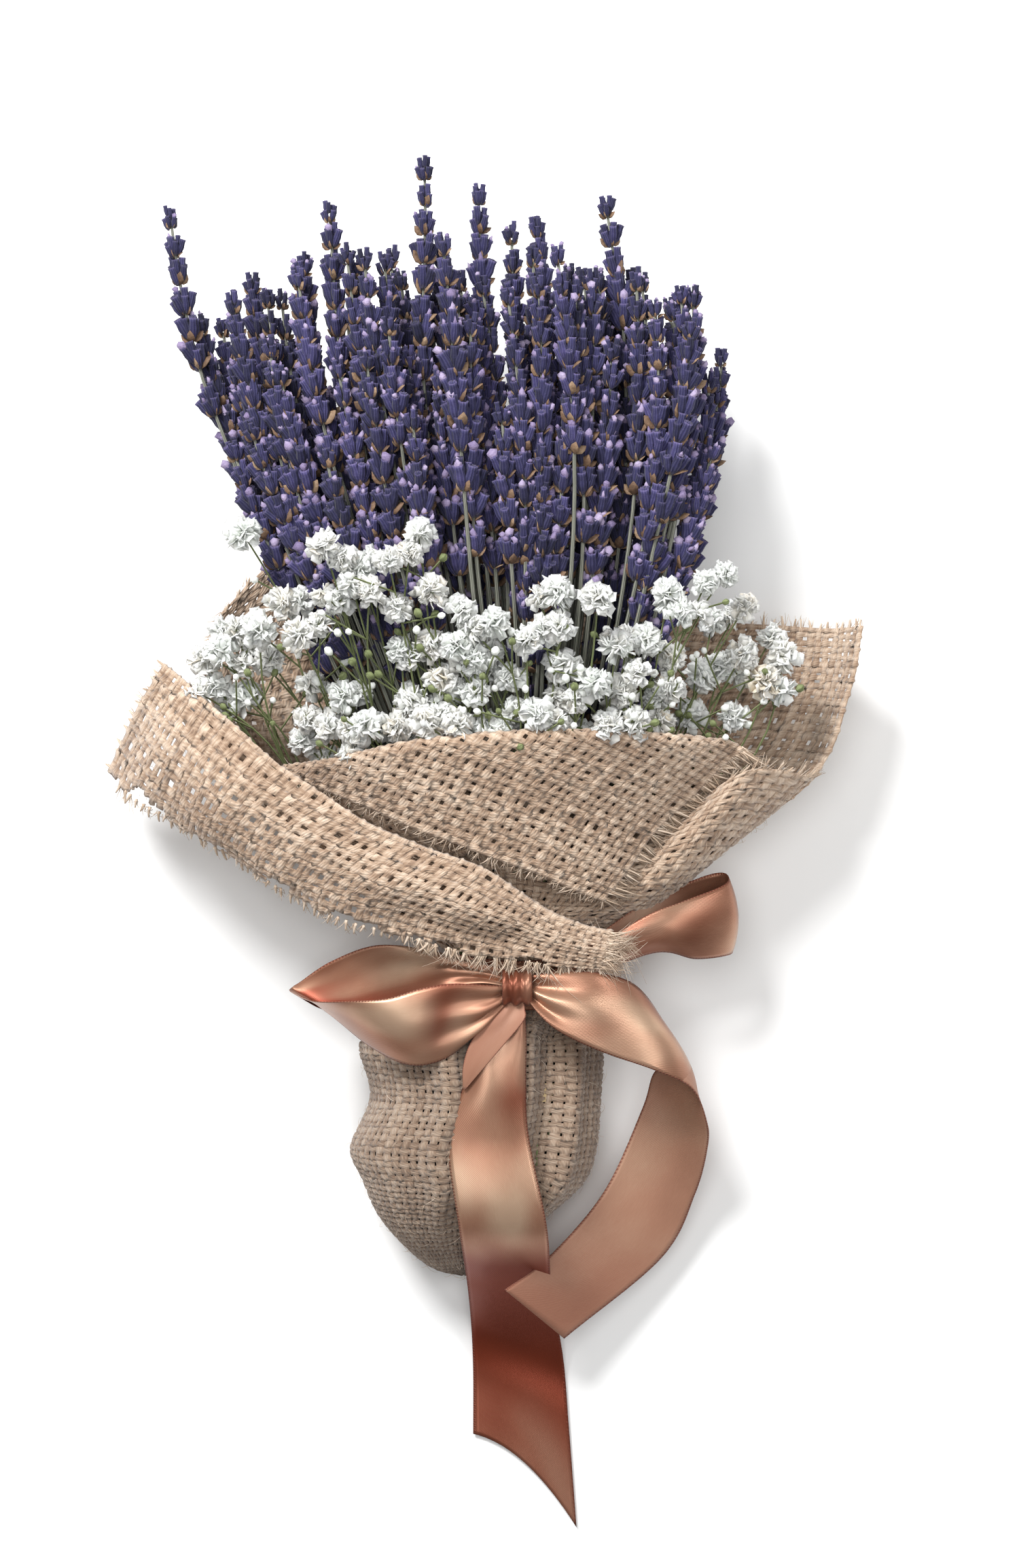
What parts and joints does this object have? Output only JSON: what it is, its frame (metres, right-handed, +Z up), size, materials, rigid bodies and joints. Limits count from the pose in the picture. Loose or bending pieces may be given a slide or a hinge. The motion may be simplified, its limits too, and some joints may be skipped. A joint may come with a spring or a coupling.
{
  "type": "bunch of dried lavender",
  "caption": "Dried lavender stalks and white baby's breath wrapped in burlap and tied at the neck with a satin ribbon bow, lying on its back.",
  "frame": {"origin": "on the surface the bunch lies on, under the middle of its footprint, ribbon tails included", "axes": "+Y along the stems from the tie to the flower tips, +X across to the right as the bow faces up, +Z up out of the surface"},
  "size_m": [0.2096, 0.373, 0.0814],
  "materials": {
    "lavender": "dry and matt, ribbed",
    "babys_breath": "dry and matt, thin petals",
    "burlap": "coarse open plain weave",
    "satin": "glossy satin weave",
    "raffia": "matt fibre"
  },
  "bodies": {
    "root": {"babys_breath_1": "babys_breath", "babys_breath_10": "babys_breath", "babys_breath_2": "babys_breath", "babys_breath_3": "babys_breath", "babys_breath_4": "babys_breath", "babys_breath_5": "babys_breath", "babys_breath_6": "babys_breath", "babys_breath_7": "babys_breath", "babys_breath_8": "babys_breath", "babys_breath_9": "babys_breath", "burlap_back": "burlap", "burlap_front": "burlap", "burlap_wrap": "burlap", "lavender_1": "lavender", "lavender_10": "lavender", "lavender_11": "lavender", "lavender_12": "lavender", "lavender_13": "lavender", "lavender_14": "lavender", "lavender_15": "lavender", "lavender_16": "lavender", "lavender_17": "lavender", "lavender_18": "lavender", "lavender_19": "lavender", "lavender_2": "lavender", "lavender_20": "lavender", "lavender_21": "lavender", "lavender_22": "lavender", "lavender_23": "lavender", "lavender_24": "lavender", "lavender_25": "lavender", "lavender_26": "lavender", "lavender_27": "lavender", "lavender_28": "lavender", "lavender_29": "lavender", "lavender_3": "lavender", "lavender_30": "lavender", "lavender_31": "lavender", "lavender_32": "lavender", "lavender_33": "lavender", "lavender_34": "lavender", "lavender_4": "lavender", "lavender_5": "lavender", "lavender_6": "lavender", "lavender_7": "lavender", "lavender_8": "lavender", "lavender_9": "lavender", "satin_ribbon": "satin", "stem_tie": "raffia"}
  },
  "joints": []
}
